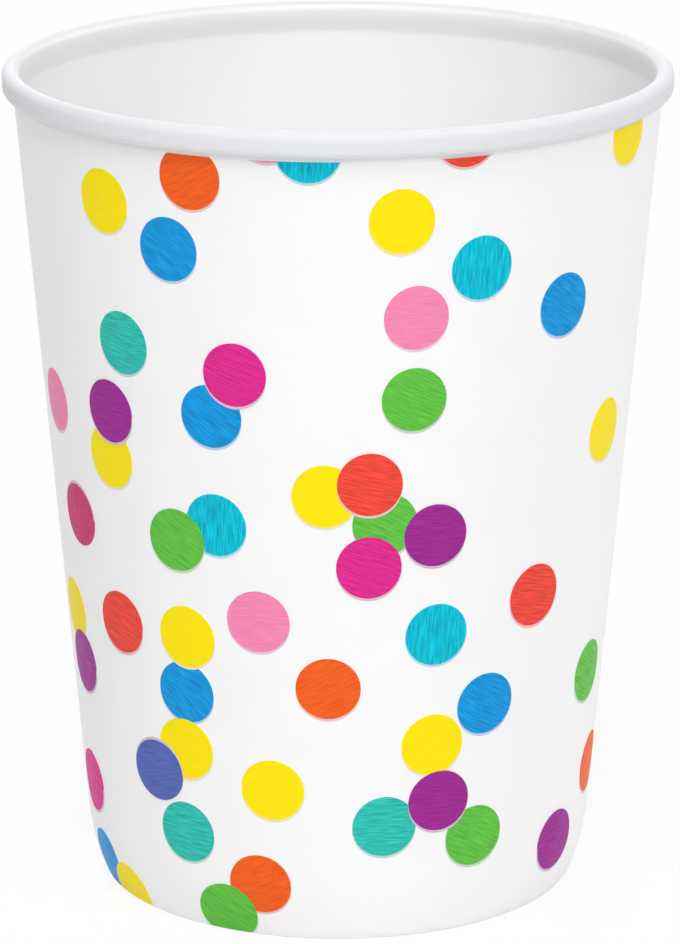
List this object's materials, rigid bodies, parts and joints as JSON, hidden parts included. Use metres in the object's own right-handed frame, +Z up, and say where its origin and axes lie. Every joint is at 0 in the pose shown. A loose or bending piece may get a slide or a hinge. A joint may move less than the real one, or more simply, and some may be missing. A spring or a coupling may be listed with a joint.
{
  "type": "paper party cup",
  "caption": "Tapered paper drinking cup with a rolled rim, a lapped side seam, a folded heel round a recessed base and scattered round confetti dots.",
  "frame": {"origin": "centre of the foot, on the plane the cup stands on", "axes": "+Z up along the cup's axis, -Y towards the front of the artwork, +X to the right seen from the front"},
  "size_m": [0.09, 0.09, 0.113],
  "materials": {
    "wall_board": "satin coated white",
    "base_board": "satin coated white",
    "yellow_ink": "yellow printing ink on coated board",
    "orange_ink": "orange printing ink on coated board",
    "red_ink": "red printing ink on coated board",
    "pink_ink": "pink printing ink on coated board",
    "magenta_ink": "magenta printing ink on coated board",
    "crimson_ink": "crimson printing ink on coated board",
    "purple_ink": "purple printing ink on coated board",
    "indigo_ink": "indigo printing ink on coated board",
    "blue_ink": "blue printing ink on coated board",
    "cyan_ink": "cyan printing ink on coated board",
    "teal_ink": "teal printing ink on coated board",
    "green_ink": "green printing ink on coated board"
  },
  "bodies": {
    "root": {"side_wall": "wall_board", "base_disc": "base_board", "ink_yellow": "yellow_ink", "ink_orange": "orange_ink", "ink_red": "red_ink", "ink_pink": "pink_ink", "ink_magenta": "magenta_ink", "ink_crimson": "crimson_ink", "ink_purple": "purple_ink", "ink_indigo": "indigo_ink", "ink_blue": "blue_ink", "ink_cyan": "cyan_ink", "ink_teal": "teal_ink", "ink_green": "green_ink"}
  },
  "joints": []
}
